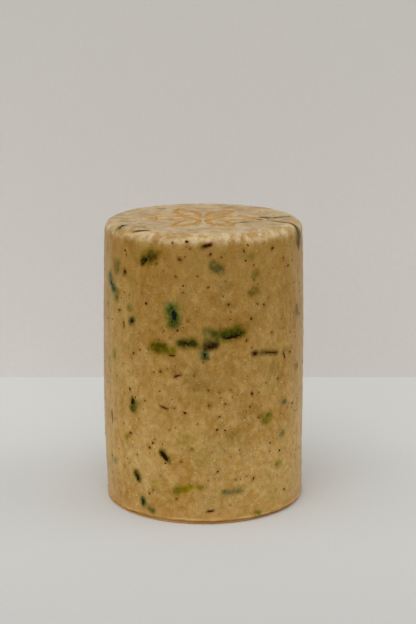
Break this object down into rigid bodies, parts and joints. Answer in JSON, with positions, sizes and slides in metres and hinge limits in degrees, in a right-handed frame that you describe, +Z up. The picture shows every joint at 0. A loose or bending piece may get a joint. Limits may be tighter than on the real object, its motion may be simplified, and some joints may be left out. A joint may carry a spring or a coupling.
{
  "type": "tall cast shaving soap with dried herbs",
  "caption": "Free-standing tall cylinder of cast shaving soap with dried leaf, petal and stem pieces in its skin and an impressed rosette on top.",
  "frame": {"origin": "centre of the flat base", "axes": "+Z up along the soap's axis; -Y is the front, +X to the right seen from the front"},
  "size_m": [0.0482, 0.0482, 0.0682],
  "materials": {
    "soap": "waxy satin, slightly translucent, mottled tan",
    "dark_leaf": "dry dark green leaf",
    "olive_leaf": "dry olive leaf",
    "blue_petal": "dry blue-grey petal",
    "red_petal": "dry maroon petal",
    "stem": "dry brown stem",
    "speck": "fine brown herb dust"
  },
  "bodies": {
    "root": {"blue_petal_01": "blue_petal", "blue_petal_02": "blue_petal", "blue_petal_03": "blue_petal", "blue_petal_04": "blue_petal", "blue_petal_05": "blue_petal", "blue_petal_06": "blue_petal", "blue_petal_07": "blue_petal", "blue_petal_08": "blue_petal", "brown_specks": "speck", "dark_leaf_01": "dark_leaf", "dark_leaf_02": "dark_leaf", "dark_leaf_03": "dark_leaf", "dark_leaf_04": "dark_leaf", "dark_leaf_05": "dark_leaf", "dark_leaf_06": "dark_leaf", "dark_leaf_07": "dark_leaf", "dark_leaf_08": "dark_leaf", "dark_leaf_09": "dark_leaf", "dark_leaf_10": "dark_leaf", "dark_leaf_11": "dark_leaf", "dark_leaf_12": "dark_leaf", "dark_leaf_13": "dark_leaf", "inner_leaves": "dark_leaf", "inner_stems": "stem", "olive_leaf_01": "olive_leaf", "olive_leaf_02": "olive_leaf", "olive_leaf_03": "olive_leaf", "olive_leaf_04": "olive_leaf", "olive_leaf_05": "olive_leaf", "olive_leaf_06": "olive_leaf", "olive_leaf_07": "olive_leaf", "olive_leaf_08": "olive_leaf", "olive_leaf_09": "olive_leaf", "olive_leaf_10": "olive_leaf", "olive_leaf_11": "olive_leaf", "olive_leaf_12": "olive_leaf", "olive_leaf_13": "olive_leaf", "olive_leaf_14": "olive_leaf", "olive_leaf_15": "olive_leaf", "olive_leaf_16": "olive_leaf", "rear_leaves": "dark_leaf", "rear_petals": "blue_petal", "rear_stems": "stem", "red_petal_01": "red_petal", "red_petal_02": "red_petal", "red_petal_03": "red_petal", "red_petal_04": "red_petal", "rim_blade": "olive_leaf", "soap_body": "soap", "stem_01": "stem", "stem_02": "stem", "stem_03": "stem", "stem_04": "stem", "stem_05": "stem", "stem_06": "stem", "stem_07": "stem", "stem_08": "stem", "stem_09": "stem"}
  },
  "joints": []
}
